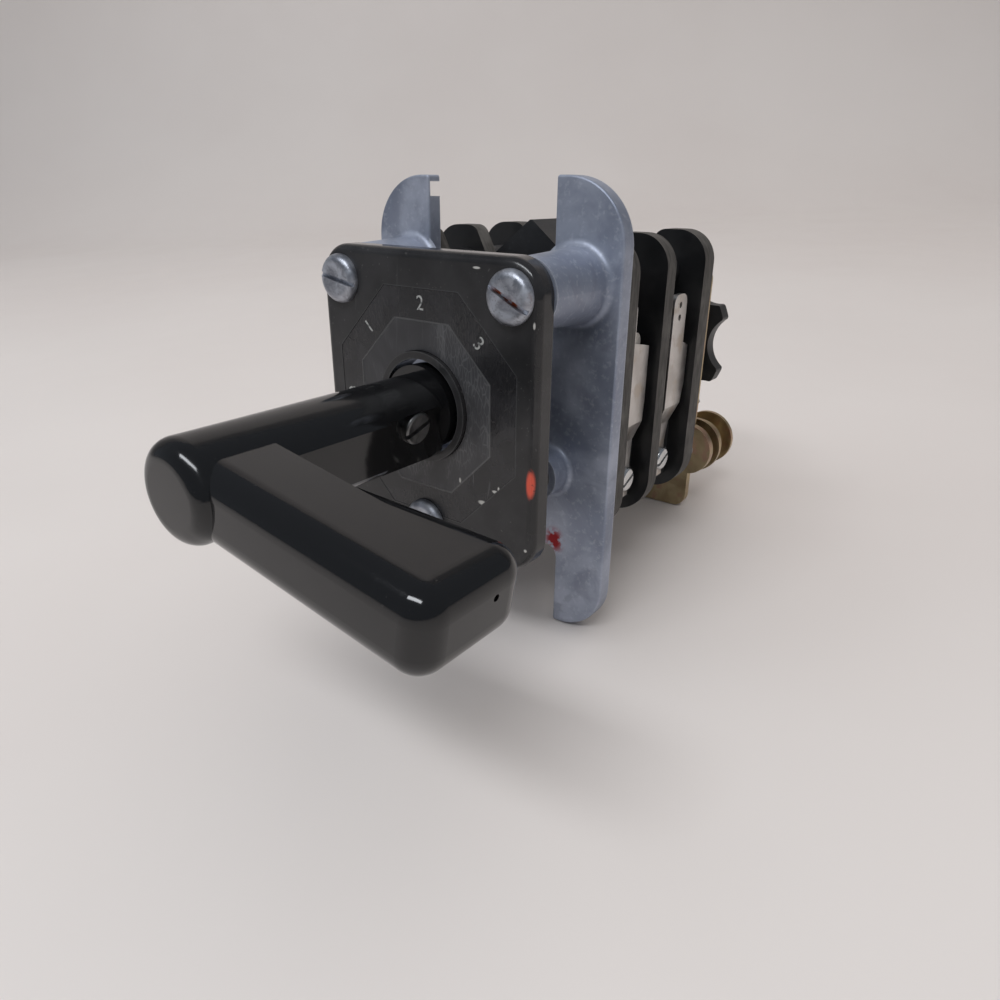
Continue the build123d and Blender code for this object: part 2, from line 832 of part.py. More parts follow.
with BuildPart() as handle_set_screw:
    with BuildSketch(screw_axis.offset(pocket_floor_x)):
        Circle(set_screw_r)
    extrude(amount=set_screw_head_h)
    fillet(handle_set_screw.faces().sort_by(Axis.X)[-1].edges(), set_screw_round)
    with BuildSketch(screw_axis.offset(spindle_r)):
        Circle(set_screw_shank_r)
    extrude(amount=pocket_floor_x - spindle_r)
    with BuildSketch(screw_axis.offset(pocket_floor_x + set_screw_head_h)):
        Rectangle(3 * set_screw_r, slot_w, rotation=20)
    extrude(amount=set_screw_slot_depth, both=True, mode=Mode.SUBTRACT)
save(handle_set_screw.part, "handle_set_screw")

sleeve_spans = [
    (square_front, stages[0][0] + end_gap),
    (stages[0][1] - end_gap, stages[1][0] + end_gap),
    (stages[1][1] - end_gap, square_back),
]
with BuildPart() as shaft_sleeves:
    for sleeve_front, sleeve_back in sleeve_spans:
        with BuildSketch(section(sleeve_back)):
            Circle(sleeve_r)
            Rectangle(square_bore, square_bore, mode=Mode.SUBTRACT)
        extrude(amount=sleeve_back - sleeve_front)
save(shaft_sleeves.part, "shaft_sleeves")

# =====================================================================
# Rear bearing: moulded housing, plated end plate, bush and screws
# =====================================================================
rear_points = lower_ties + rear_ties
with BuildPart() as rear_housing:
    with BuildSketch(section(rear_plate_front)):
        square = Rectangle(2 * housing_half, 2 * housing_half)
        chamfer(square.vertices(), housing_chamfer)
        Circle(housing_bore_r, mode=Mode.SUBTRACT)
        with Locations(*rear_points):
            Circle(tie_hole_r, mode=Mode.SUBTRACT)
    extrude(amount=rear_plate_front - barrier_2_back)
save(rear_housing.part, "rear_housing")

with BuildPart() as rear_plate:
    with BuildSketch(section(rear_plate_back, 0.0, (rear_plate_top + rear_plate_bottom) / 2)):
        RectangleRounded(2 * rear_plate_half_w, rear_plate_top - rear_plate_bottom, rear_plate_corner)
    with BuildSketch(section(rear_plate_back)):
        with Locations((pivot_x, pivot_z)):
            Circle(ear_r)
    extrude(amount=rear_plate_t)
    with BuildSketch(section(rear_plate_back)):
        Circle(rear_bush_r)
        with Locations(*rear_points):
            Circle(tie_hole_r)
        with Locations((pivot_x, pivot_z)):
            Circle(spool_screw_r)
    extrude(amount=rear_plate_t, mode=Mode.SUBTRACT)
save(rear_plate.part, "rear_plate")

bush_length = rear_bush_back - rear_bush_front
rear_bush = disc(rear_bush_back, bush_length, rear_bush_r, hole=rear_journal_r + running_gap)
save(rear_bush, "rear_bush")

with BuildPart() as rear_plate_screws:
    for x, z in rear_ties:
        add(disc(rear_plate_back, rear_screw_length, tie_r, x, z))
        with BuildSketch(section(rear_plate_back + tie_head_h, x, z)):
            Circle(tie_head_r)
        extrude(amount=tie_head_h)
    heads = rear_plate_screws.edges().filter_by(GeomType.CIRCLE).group_by(Axis.Y)[-1]
    fillet(heads, rear_screw_round)
    for x, z in rear_ties:
        with BuildSketch(section(rear_plate_back + tie_head_h, x, z, 40.0)):
            Rectangle(3 * tie_head_r, slot_w)
        extrude(amount=slot_depth, mode=Mode.SUBTRACT)
save(rear_plate_screws.part, "rear_plate_screws")

# =====================================================================
# Detent: star wheel on the shaft, sprung arm with a roller below it
# =====================================================================
with BuildPart() as detent_wheel:
    with BuildSketch(section(star_front + star_t)):
        Circle(star_tip_r)
        with PolarLocations(star_scallop_centre, star_points):
            Circle(star_scallop_r, mode=Mode.SUBTRACT)
        Rectangle(star_square_bore, star_square_bore, mode=Mode.SUBTRACT)
    extrude(amount=star_t)
    tips = []
    for edge in detent_wheel.edges().filter_by(Axis.Y):
        if math.hypot(edge.center().X, edge.center().Z) > star_tip_r - star_tip_round:
            tips.append(edge)
    fillet(tips, star_tip_round)
save(detent_wheel.part, "detent_wheel")

washer_back = star_front + star_t + washer_t
save(disc(washer_back, washer_t, washer_r, hole=thread_r + fit_gap), "shaft_washer")
with BuildPart() as shaft_nut:
    with BuildSketch(section(washer_back + nut_h)):
        RegularPolygon(shaft_nut_r, 6)
        Circle(thread_r + thread_gap, mode=Mode.SUBTRACT)
    extrude(amount=nut_h)
save(shaft_nut.part, "shaft_nut")

spool_back = spool_far_y + spool_flange_t
with BuildPart() as detent_pivot_bush:
    add(disc(spool_near_y, spool_near_y - rear_plate_back, spool_hub_r, pivot_x, pivot_z))
    add(disc(spool_near_y + spool_flange_t, spool_flange_t, spool_flange_r, pivot_x, pivot_z))
    add(disc(spool_far_y, spool_far_y - spool_near_y, spool_drum_r, pivot_x, pivot_z))
    add(disc(spool_back, spool_flange_t, spool_flange_r, pivot_x, pivot_z))
    with BuildSketch(section(spool_back, pivot_x, pivot_z)):
        Circle(spool_screw_r)
    extrude(amount=spool_back - rear_plate_back, mode=Mode.SUBTRACT)
save(detent_pivot_bush.part, "detent_pivot_bush")

with BuildPart() as detent_pivot_screw:
    add(disc(spool_back, spool_back - rear_plate_front, spool_screw_r, pivot_x, pivot_z))
    add(disc(spool_back + pivot_head_h, pivot_head_h, pivot_head_r, pivot_x, pivot_z))
    fillet(detent_pivot_screw.faces().sort_by(Axis.Y)[-1].edges(), pivot_head_round)
    with BuildSketch(section(spool_back + pivot_head_h, pivot_x, pivot_z, 60.0)):
        Rectangle(3 * pivot_head_r, slot_w)
    extrude(amount=slot_depth, mode=Mode.SUBTRACT)
save(detent_pivot_screw.part, "detent_pivot_screw")

detent_arm_back = detent_arm_front + detent_arm_t
with BuildPart() as detent_arm:
    with BuildSketch(section(detent_arm_back)):
        with Locations((pivot_x, pivot_z)):
            Circle(arm_ring_r)
        with Locations((roller_x, roller_z)):
            Circle(arm_neck_r)
        make_hull()
    with BuildSketch(section(detent_arm_back)):
        with Locations((roller_x, roller_z)):
            Circle(arm_neck_r)
        with Locations((spring_x, roller_z)):
            Circle(arm_tail_r)
        make_hull()
    extrude(amount=detent_arm_t)
    # stub that takes the spring's lower end
    stub_length = detent_arm_front - spring_y + spring_r
    add(disc(detent_arm_front, stub_length, spring_stub_r, spring_x, roller_z))
    with BuildSketch(section(detent_arm_back)):
        with Locations((pivot_x, pivot_z)):
            Circle(spool_drum_r + running_gap)
        with Locations((roller_x, roller_z)):
            Circle(roller_pin_r)
    extrude(amount=detent_arm_t, mode=Mode.SUBTRACT)
save(detent_arm.part, "detent_arm")

pin_end = roller_front + roller_w + pin_gap
with BuildPart() as roller_pin:
    add(disc(pin_end, pin_end - detent_arm_front, roller_pin_r, roller_x, roller_z))
    add(disc(detent_arm_front, pin_head_h, pin_head_r, roller_x, roller_z))
    add(disc(pin_end + pin_head_h, pin_head_h, pin_head_r, roller_x, roller_z))
save(roller_pin.part, "roller_pin")
roller = disc(roller_front + roller_w, roller_w, roller_r, roller_x, roller_z, roller_pin_r + running_gap)
save(roller, "detent_roller")

with BuildPart() as detent_spring:
    with BuildSketch(Plane(origin=(spring_x, spring_y, spring_low_z))):
        Circle(spring_r)
        Circle(spring_r - spring_wall, mode=Mode.SUBTRACT)
    extrude(amount=spring_high_z - spring_low_z)
save(detent_spring.part, "detent_spring")

with BuildPart() as spring_post:
    post_end = spring_y + spring_r + spring_stub_over
    add(disc(post_end, post_end - rear_plate_back, spring_stub_r, spring_x, spring_post_z))
save(spring_post.part, "spring_post")
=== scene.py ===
import math

import bmesh
import bpy
from mathutils import Matrix, Vector


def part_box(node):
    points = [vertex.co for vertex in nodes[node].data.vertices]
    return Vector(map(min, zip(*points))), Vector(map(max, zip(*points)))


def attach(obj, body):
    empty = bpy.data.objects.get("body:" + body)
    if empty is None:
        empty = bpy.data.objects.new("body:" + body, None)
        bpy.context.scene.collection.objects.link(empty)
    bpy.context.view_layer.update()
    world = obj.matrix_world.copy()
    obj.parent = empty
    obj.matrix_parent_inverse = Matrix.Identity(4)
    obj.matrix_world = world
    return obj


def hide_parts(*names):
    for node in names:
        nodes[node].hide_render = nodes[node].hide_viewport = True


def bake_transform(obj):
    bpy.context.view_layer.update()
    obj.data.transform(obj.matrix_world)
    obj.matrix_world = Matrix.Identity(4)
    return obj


# Looks, stage and camera of a rotary cam switch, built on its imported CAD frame.
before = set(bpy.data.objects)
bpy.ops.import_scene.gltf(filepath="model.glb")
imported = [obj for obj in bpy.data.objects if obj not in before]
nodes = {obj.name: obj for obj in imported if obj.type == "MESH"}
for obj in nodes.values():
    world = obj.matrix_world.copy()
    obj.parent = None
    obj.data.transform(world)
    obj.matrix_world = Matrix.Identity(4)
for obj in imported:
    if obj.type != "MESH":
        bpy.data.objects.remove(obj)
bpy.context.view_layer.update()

MM = 0.001
NOISE_ROUGHNESS = 0.55
BEVEL_SAMPLES = 6
# how far the bevelled normal agrees with the real one where an edge starts and where it is full
EDGE_STARTS = 0.995
EDGE_FULL = 0.85
FINE_BUMP = 0.0002
SHARP_ANGLE = 35


# ---------------------------------------------------------------------------
# Shader helpers. Positions in a shader are object coordinates, which for every
# CAD node are the row frame's metres.
# ---------------------------------------------------------------------------
class Shader:
    """A Principled material under construction."""

    def __init__(self, name, color, roughness=0.5, metallic=0.0, **sockets):
        self.mat = bpy.data.materials.new(name)
        self.mat.use_nodes = True
        self.tree = self.mat.node_tree
        self.bsdf = self.tree.nodes["Principled BSDF"]
        self.bsdf.inputs["Base Color"].default_value = (*color, 1)
        self.bsdf.inputs["Roughness"].default_value = roughness
        self.bsdf.inputs["Metallic"].default_value = metallic
        for socket, value in sockets.items():
            self.bsdf.inputs[socket.replace("_", " ")].default_value = value
        self.coords = self.node("ShaderNodeTexCoord").outputs["Object"]

    def node(self, kind, **settings):
        made = self.tree.nodes.new(kind)
        for key, value in settings.items():
            setattr(made, key, value)
        return made

    def wire(self, source, target):
        if isinstance(source, (int, float)):
            target.default_value = source
        elif isinstance(source, tuple):
            target.default_value = (*source, 1)
        else:
            self.tree.links.new(source, target)

    def math(self, operation, a, b=0.0):
        made = self.node("ShaderNodeMath", operation=operation)
        self.wire(a, made.inputs[0])
        self.wire(b, made.inputs[1])
        return made.outputs[0]

    def vector_math(self, operation, a, b):
        made = self.node("ShaderNodeVectorMath", operation=operation)
        self.wire(a, made.inputs[0])
        made.inputs[1].default_value = b
        return made.outputs["Value" if operation in ("LENGTH", "DOT_PRODUCT") else "Vector"]

    def stretched(self, scale):
        return self.vector_math("MULTIPLY", self.coords, scale)

    def noise(self, scale, detail=4.0, stretch=(1, 1, 1), distortion=0.0):
        made = self.node("ShaderNodeTexNoise")
        self.wire(self.stretched(stretch), made.inputs["Vector"])
        made.inputs["Scale"].default_value = scale
        made.inputs["Detail"].default_value = detail
        made.inputs["Roughness"].default_value = NOISE_ROUGHNESS
        made.inputs["Distortion"].default_value = distortion
        return made.outputs["Fac"]

    def cracks(self, scale, stretch=(1, 1, 1)):
        """Distance to the edges of irregular cells: 0 on a crack."""
        made = self.node("ShaderNodeTexVoronoi", feature="DISTANCE_TO_EDGE")
        self.wire(self.stretched(stretch), made.inputs["Vector"])
        made.inputs["Scale"].default_value = scale
        return made.outputs["Distance"]

    def span(self, value, low, high, to_low=0.0, to_high=1.0):
        """Eases from to_low to to_high as the value goes from low to high."""
        made = self.node("ShaderNodeMapRange", interpolation_type="SMOOTHSTEP")
        self.wire(value, made.inputs["Value"])
        for socket, number in zip(("From Min", "From Max", "To Min", "To Max"), (low, high, to_low, to_high)):
            made.inputs[socket].default_value = number
        return made.outputs["Result"]

    def mix(self, factor, a, b):
        made = self.node("ShaderNodeMix", data_type="RGBA")
        self.wire(factor, made.inputs["Factor"])
        self.wire(a, made.inputs["A"])
        self.wire(b, made.inputs["B"])
        return made.outputs["Result"]

    def along(self, axis):
        """One coordinate of the surface point, in metres."""
        made = self.node("ShaderNodeSeparateXYZ")
        self.wire(self.coords, made.inputs[0])
        return made.outputs[axis]

    def facing(self, axis):
        """How squarely the surface faces along one axis, either way: 0 to 1."""
        geometry = self.node("ShaderNodeNewGeometry")
        made = self.node("ShaderNodeSeparateXYZ")
        turned = self.node("ShaderNodeVectorTransform", vector_type="NORMAL", convert_from="WORLD",
                           convert_to="OBJECT")
        self.wire(geometry.outputs["Normal"], turned.inputs[0])
        self.wire(turned.outputs[0], made.inputs[0])
        return self.math("ABSOLUTE", made.outputs[axis])

    def near(self, point, size, soft=0.5):
        """1 within an ellipsoid of these half sizes (mm) round a point (mm), fading to 0 outside."""
        shifted = self.vector_math("SUBTRACT", self.coords, tuple(v * MM for v in point))
        scaled = self.vector_math("DIVIDE", shifted, tuple(v * MM for v in size))
        distance = self.vector_math("LENGTH", scaled, (0, 0, 0))
        return self.span(distance, 1.0 + soft, 1.0 - soft / 2)

    def edge(self, radius):
        """1 along sharp edges, from the difference between a bevelled normal and the real one."""
        bevel = self.node("ShaderNodeBevel", samples=BEVEL_SAMPLES)
        bevel.inputs["Radius"].default_value = radius
        geometry = self.node("ShaderNodeNewGeometry")
        made = self.node("ShaderNodeVectorMath", operation="DOT_PRODUCT")
        self.wire(bevel.outputs[0], made.inputs[0])
        self.wire(geometry.outputs["True Normal"], made.inputs[1])
        return self.span(made.outputs["Value"], EDGE_STARTS, EDGE_FULL)

    def highest(self, *values):
        result = values[0]
        for value in values[1:]:
            result = self.math("MAXIMUM", result, value)
        return result

    def color(self, source):
        self.wire(source, self.bsdf.inputs["Base Color"])

    def roughness(self, source):
        self.wire(source, self.bsdf.inputs["Roughness"])

    def bump(self, height, strength, distance=FINE_BUMP):
        made = self.node("ShaderNodeBump")
        made.inputs["Strength"].default_value = strength
        made.inputs["Distance"].default_value = distance
        self.wire(height, made.inputs["Height"])
        self.wire(made.outputs[0], self.bsdf.inputs["Normal"])


def paint(material, *names):
    for name in names:
        mesh = nodes[name].data
        mesh.materials.clear()
        mesh.materials.append(material)


def smooth(*names):
    """Rounds the shading of curved faces and keeps the sharp edges."""
    for name in names:
        mesh = nodes[name].data
        mesh.shade_smooth()
        mesh.set_sharp_from_angle(angle=math.radians(SHARP_ANGLE))


# ---------------------------------------------------------------------------
# Materials
# ---------------------------------------------------------------------------
def handle_phenolic():
    """Polished black moulding: soft haze, hairline scratches and a few dust specks."""
    color, gloss, haze = (0.006, 0.006, 0.0065), 0.07, 0.09
    s = Shader("handle_phenolic", color, roughness=gloss, Specular_IOR_Level=0.55)
    handled = s.noise(55, detail=5)
    hairlines = s.noise(420, detail=2, stretch=(1, 0.08, 1), distortion=0.6)
    dust = s.span(s.noise(1700, detail=1), 0.76, 0.83)
    s.color(s.mix(s.math("MULTIPLY", dust, 0.25), color, (0.10, 0.10, 0.095)))
    hazy = s.span(handled, 0.35, 0.75, gloss, gloss + haze)
    scratched = s.span(hairlines, 0.62, 0.8, 0.0, 0.12)
    s.roughness(s.math("ADD", hazy, scratched))
    s.bump(s.math("ADD", s.noise(130, detail=3), s.math("MULTIPLY", hairlines, 0.15)), 0.10)
    return s.mat


def escutcheon_black():
    """Moulded plate: duller face with scuffs and chips, polished rim, two dabs of old red paint."""
    s = Shader("escutcheon_black", (0.02, 0.02, 0.022), 0.3, Specular_IOR_Level=0.5)
    face = s.facing("Y")
    mottle = s.noise(95, detail=6)
    scratches = s.span(s.noise(260, detail=2, stretch=(1, 1, 0.12), distortion=1.2), 0.66, 0.76)
    speck = s.span(s.noise(1300, detail=1), 0.72, 0.78)
    worn = s.span(s.edge(0.0006), 0.4, 1.0, 0.0, 0.5)
    base = s.mix(s.span(mottle, 0.35, 0.7), (0.012, 0.0115, 0.012), (0.026, 0.025, 0.026))
    base = s.mix(s.math("MULTIPLY", s.math("MULTIPLY", scratches, face), 0.3), base, (0.14, 0.14, 0.14))
    base = s.mix(s.math("MULTIPLY", speck, 0.25), base, (0.22, 0.21, 0.2))
    base = s.mix(worn, base, (0.10, 0.10, 0.10))
    chips = s.highest(
        s.near((15.2, -5, 30.2), (0.75, 2.0, 0.2)),
        s.near((28.9, -4.6, 20.6), (0.2, 0.5, 0.6)),
        s.near((28.2, -5.0, -26.6), (0.3, 0.5, 0.3)),
    )
    base = s.mix(s.math("MULTIPLY", chips, 0.8), base, (0.62, 0.60, 0.56))
    red = s.near((28.9, -4.6, -11.4), (0.75, 1.0, 2.6))
    red = s.math("MULTIPLY", red, s.span(s.noise(600, detail=3), 0.32, 0.42))
    s.color(s.mix(red, base, (0.66, 0.085, 0.045)))
    s.roughness(s.span(face, 0.7, 0.98, 0.14, 0.34))
    s.bump(s.math("ADD", mottle, s.math("MULTIPLY", s.noise(900, detail=2), 0.4)), 0.14, 0.00025)
    return s.mat


def dial_grey():
    """Smooth dark octagonal band round a worn, crackled inner field, with a painted highlight along the
    field's edge.
    """
    s = Shader("dial_grey", (0.03, 0.03, 0.033), 0.35)
    x, z = s.along("X"), s.along("Z")
    diagonal = math.sqrt(0.5)
    slants = []
    for way in ("ADD", "SUBTRACT"):
        slants.append(s.math("MULTIPLY", s.math("ABSOLUTE", s.math(way, x, z)), diagonal))
    octagon = s.highest(s.math("ABSOLUTE", x), s.math("ABSOLUTE", z), *slants)
    inner = s.span(octagon, 18.45 * MM, 18.3 * MM)
    # painted highlight: a thin light line along the inner field's edge, standing in for light caught by the
    # step between band and field
    painted_step_highlight = s.math("MULTIPLY", s.span(octagon, 18.2 * MM, 18.4 * MM), s.span(octagon, 18.75 * MM, 18.5 * MM))
    patches = s.noise(70, detail=6, distortion=0.8)
    crackle = s.span(s.cracks(1300, stretch=(1, 1, 0.3)), 0.09, 0.02)
    crackle = s.math("MULTIPLY", crackle, s.span(patches, 0.42, 0.62))
    field = s.mix(s.span(patches, 0.3, 0.7), (0.030, 0.029, 0.031), (0.056, 0.055, 0.058))
    field = s.mix(s.math("MULTIPLY", crackle, 0.20), field, (0.24, 0.24, 0.235))
    streaks = s.span(s.noise(240, detail=3, stretch=(1, 1, 0.12), distortion=0.8), 0.60, 0.74)
    field = s.mix(s.math("MULTIPLY", streaks, 0.22), field, (0.20, 0.20, 0.20))
    band = s.mix(s.span(s.noise(120, detail=5), 0.4, 0.7), (0.014, 0.0135, 0.0145), (0.026, 0.025, 0.027))
    hairline = s.span(s.noise(330, detail=2, stretch=(1, 1, 0.1), distortion=1.6), 0.69, 0.76)
    band = s.mix(s.math("MULTIPLY", hairline, 0.3), band, (0.2, 0.2, 0.2))
    chips = s.highest(
        s.near((16.6, -4.5, -18.6), (1.0, 2, 0.45)),
        s.near((20.0, -4.5, -15.2), (0.7, 2, 0.3)),
        s.near((20.9, -4.5, -14.4), (0.22, 2, 0.5)),
        s.near((10.2, -4.5, -14.9), (0.25, 2, 0.5)),
    )
    both = s.mix(inner, band, field)
    # lays the painted highlight along the inner field's edge
    both = s.mix(s.math("MULTIPLY", painted_step_highlight, 0.35), both, (0.22, 0.22, 0.215))
    s.color(s.mix(s.math("MULTIPLY", chips, 0.75), both, (0.62, 0.60, 0.56)))
    s.roughness(s.span(inner, 0, 1, 0.27, 0.42))
    s.bump(s.math("ADD", s.math("MULTIPLY", crackle, 0.9), s.noise(260, detail=4)), 0.28, 0.00018)
    return s.mat


def cast_zinc():
    """Die-cast zinc: blue-grey, mottled by age, paler rubbed edges, one dark red blob of paint."""
    s = Shader("cast_zinc", (0.33, 0.36, 0.40), 0.5, metallic=0.55)
    clouds = s.noise(48, detail=6, distortion=0.5)
    grain = s.noise(900, detail=3)
    stains = s.span(s.noise(85, detail=5, distortion=1.2), 0.52, 0.68)
    base = s.mix(s.span(clouds, 0.32, 0.68), (0.24, 0.268, 0.34), (0.46, 0.49, 0.575))
    base = s.mix(s.math("MULTIPLY", stains, 0.4), base, (0.20, 0.215, 0.27))
    base = s.mix(s.span(grain, 0.52, 0.74, 0.0, 0.3), base, (0.60, 0.625, 0.69))
    base = s.mix(s.span(s.edge(0.0008), 0.3, 1.0, 0.0, 0.5), base, (0.68, 0.70, 0.76))
    red = s.near((20.6, 18.6, -35.2), (2.0, 2.4, 2.4), soft=0.8)
    red = s.math("MULTIPLY", red, s.span(s.noise(500, detail=3), 0.36, 0.5))
    s.color(s.mix(red, base, (0.30, 0.012, 0.016)))
    s.roughness(s.span(clouds, 0.3, 0.7, 0.40, 0.58))
    s.bump(s.math("ADD", s.math("MULTIPLY", grain, 0.35), s.noise(170, detail=5)), 0.22, 0.0003)
    return s.mat


def barrier_laminate():
    """Pressed laminate sheet: black faces, sawn edges showing brown-grey plies."""
    s = Shader("barrier_laminate", (0.02, 0.02, 0.02), 0.4)
    face = s.span(s.facing("Y"), 0.55, 0.8)
    plies = s.noise(900, detail=2, stretch=(0.25, 1.6, 0.25))
    dirt = s.noise(130, detail=5)
    sawn = s.mix(s.span(plies, 0.3, 0.7), (0.040, 0.036, 0.032), (0.085, 0.078, 0.070))
    sawn = s.mix(s.span(dirt, 0.5, 0.75, 0.0, 0.5), sawn, (0.19, 0.18, 0.165))
    skin = s.mix(s.span(dirt, 0.35, 0.75), (0.007, 0.007, 0.0075), (0.016, 0.0155, 0.0155))
    s.color(s.mix(face, sawn, skin))
    s.roughness(s.span(face, 0, 1, 0.62, 0.30))
    s.bump(s.math("ADD", plies, s.noise(500, detail=3)), 0.12)
    return s.mat


def plated(name, color, dark, roughness, blotch=90, stain=None):
    """Plated or bare metal with handling marks; stain tints it in patches."""
    s = Shader(name, color, roughness, metallic=0.95)
    spread = 0.12
    patches = s.noise(blotch, detail=5, distortion=0.6)
    fine = s.noise(1100, detail=2, stretch=(1, 1, 0.2))
    base = s.mix(s.span(patches, 0.3, 0.7), dark, color)
    if stain:
        base = s.mix(s.span(s.noise(blotch * 2.3, detail=4), 0.52, 0.66, 0.0, 0.8), base, stain)
    base = s.mix(s.span(s.edge(0.0003), 0.4, 1.0, 0.0, 0.35), base, tuple(min(1, v * 1.35) for v in color))
    s.color(base)
    s.roughness(s.span(patches, 0.3, 0.75, roughness - spread / 2, roughness + spread))
    s.bump(s.math("ADD", patches, s.math("MULTIPLY", fine, 0.3)), 0.10)
    return s.mat


def worn_screw():
    """Domed screw head: grey plating rubbed through, rust in and round one slot."""
    s = Shader("worn_screw", (0.42, 0.41, 0.39), 0.42, metallic=0.85)
    patches = s.noise(300, detail=5, distortion=0.8)
    base = s.mix(s.span(patches, 0.35, 0.65), (0.27, 0.28, 0.315), (0.52, 0.54, 0.59))
    rings = s.noise(1900, detail=2)
    base = s.mix(s.span(rings, 0.58, 0.7, 0.0, 0.4), base, (0.13, 0.13, 0.135))
    rust = s.math("MULTIPLY", s.near((23.6, -6.0, 25.4), (4.2, 0.75, 1.8), soft=0.6),
                  s.span(s.noise(700, detail=4), 0.40, 0.55))
    s.color(s.mix(rust, base, (0.20, 0.055, 0.025)))
    s.roughness(s.span(patches, 0.35, 0.7, 0.32, 0.55))
    s.bump(s.math("ADD", patches, rings), 0.25)
    return s.mat


def moulding(name, low, high, roughness):
    """Plain moulded or machined insulating material."""
    s = Shader(name, low, roughness)
    grain, spread = 240, 0.08
    body = s.noise(grain / 2, detail=5)
    fibres = s.noise(grain * 5, detail=2, stretch=(1, 0.2, 1))
    base = s.mix(s.span(body, 0.35, 0.7), low, high)
    s.color(s.mix(s.span(fibres, 0.6, 0.78, 0.0, 0.35), base, tuple(min(1, v * 1.8 + 0.01) for v in high)))
    s.roughness(s.span(body, 0.3, 0.7, roughness - spread, roughness + spread))
    s.bump(s.math("ADD", body, fibres), 0.12)
    return s.mat


def white_fill():
    """Paint in the engraved dial numbers, yellowed and thin in places."""
    s = Shader("white_fill", (0.42, 0.42, 0.40), 0.55)
    gaps = s.span(s.noise(900, detail=3), 0.40, 0.52)
    s.color(s.mix(gaps, (0.10, 0.10, 0.098), (0.42, 0.42, 0.40)))
    s.bump(s.noise(1200, detail=2), 0.1, 0.0001)
    return s.mat


def pale_floor():
    s = Shader("pale_floor", (0.71, 0.66, 0.625), 0.45)
    s.color(s.mix(s.span(s.noise(3, detail=4), 0.3, 0.7), (0.70, 0.645, 0.61), (0.73, 0.68, 0.645)))
    s.roughness(s.span(s.noise(14, detail=4), 0.3, 0.7, 0.38, 0.5))
    return s.mat


black_satin = moulding("black_satin", (0.012, 0.012, 0.013), (0.024, 0.024, 0.025), 0.42)
brown_tube = moulding("brown_tube", (0.14, 0.075, 0.04), (0.22, 0.13, 0.075), 0.5)
cam_brown = moulding("cam_brown", (0.05, 0.028, 0.02), (0.085, 0.05, 0.036), 0.4)
steel = plated("steel", (0.60, 0.60, 0.59), (0.42, 0.42, 0.42), 0.32)
brass = plated("brass", (0.64, 0.47, 0.20), (0.40, 0.28, 0.12), 0.34)
bronze = plated("bronze", (0.58, 0.38, 0.20), (0.34, 0.21, 0.11), 0.36)
silver = plated("silver", (0.82, 0.80, 0.76), (0.50, 0.47, 0.43), 0.30)
nickel = plated("nickel", (0.80, 0.77, 0.74), (0.50, 0.47, 0.44), 0.34, blotch=70, stain=(0.52, 0.45, 0.38))
bright_nickel = plated("bright_nickel", (0.80, 0.80, 0.79), (0.52, 0.53, 0.54), 0.20)
passivate = plated("passivate", (0.56, 0.45, 0.27), (0.34, 0.255, 0.15), 0.34, blotch=110,
                   stain=(0.44, 0.27, 0.19))
blackened = plated("blackened_steel", (0.30, 0.295, 0.29), (0.13, 0.13, 0.13), 0.34, blotch=260)

paint(handle_phenolic(), "handle")
paint(escutcheon_black(), "escutcheon")
paint(dial_grey(), "dial_plate")
paint(cast_zinc(), "front_frame")
paint(barrier_laminate(), "front_insulating_plate", "middle_barrier", "rear_barrier")
paint(worn_screw(), "mounting_screws")
paint(blackened, "handle_set_screw")
paint(black_satin, "top_insulator", "rear_housing", "detent_wheel", "stage_1_spacers", "stage_2_spacers",
      "stage_1_terminal_blocks", "stage_2_terminal_blocks")
paint(brown_tube, "shaft_sleeves")
paint(cam_brown, "stage_1_cam", "stage_2_cam")
paint(steel, "cam_shaft", "long_tie_bolts", "short_tie_bolts", "tie_nuts", "arm_pivot_pins",
      "rear_plate_screws", "shaft_washer", "shaft_nut", "detent_pivot_screw", "roller_pin", "detent_roller",
      "spring_post")
paint(brass, "front_bush", "rear_bush", "handle_insert")
paint(bronze, "stage_1_arm_stops", "stage_2_arm_stops")
paint(silver, "stage_1_fixed_contacts", "stage_2_fixed_contacts")
paint(bright_nickel, "stage_1_terminal_screws", "stage_2_terminal_screws")
paint(passivate, "rear_plate", "detent_pivot_bush", "detent_arm")
for stage in (1, 2):
    for side in ("left", "right"):
        paint(bronze, f"stage_{stage}_{side}_contact_arm")
        paint(brown_tube, f"stage_{stage}_{side}_follower")
        paint(silver, f"stage_{stage}_{side}_moving_contact")
        paint(nickel, f"stage_{stage}_{side}_terminal_strap")
smooth(*nodes)


# ---------------------------------------------------------------------------
# Dial numbers: 0 to 3 at the four positions that the grip's far side points to
# ---------------------------------------------------------------------------
def dial_numbers():
    radius, size, step, first = 22.0 * MM, 4.3 * MM, 45.0, 180.0
    thickness, proud = 0.02 * MM, 0.015 * MM
    face_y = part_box("dial_plate")[0].y
    fill = white_fill()
    for number in range(4):
        angle = math.radians(first - step * number)
        curve = bpy.data.curves.new(f"dial_number_{number}", "FONT")
        curve.body = str(number)
        curve.size = size
        curve.align_x = "CENTER"
        curve.align_y = "CENTER"
        curve.extrude = thickness
        made = bpy.data.objects.new(curve.name, curve)
        bpy.context.scene.collection.objects.link(made)
        up = Matrix.Rotation(math.radians(90), 4, "X")
        lean = Matrix.Rotation(angle - math.radians(90), 4, "Z")
        place = Matrix.Translation((radius * math.cos(angle), face_y - proud, radius * math.sin(angle)))
        made.matrix_world = place @ up @ lean
        curve.materials.append(fill)
        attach(made, "switch_frame")


dial_numbers()


# ---------------------------------------------------------------------------
# Detent spring: a real coil with a hook at each end, in place of the plain tube. Its upper
# hook loops round the rear plate's post and its lower hook round the detent arm's stub.
# ---------------------------------------------------------------------------
def hook(centre, radius, first, last):
    """Points of a loop round a stub that lies along Y, from one angle to another in degrees."""
    step = 20
    angles = [math.radians(a) for a in range(first, last + 1, step)]
    return [(centre.x + radius * math.cos(a), centre.y, centre.z + radius * math.sin(a)) for a in angles]


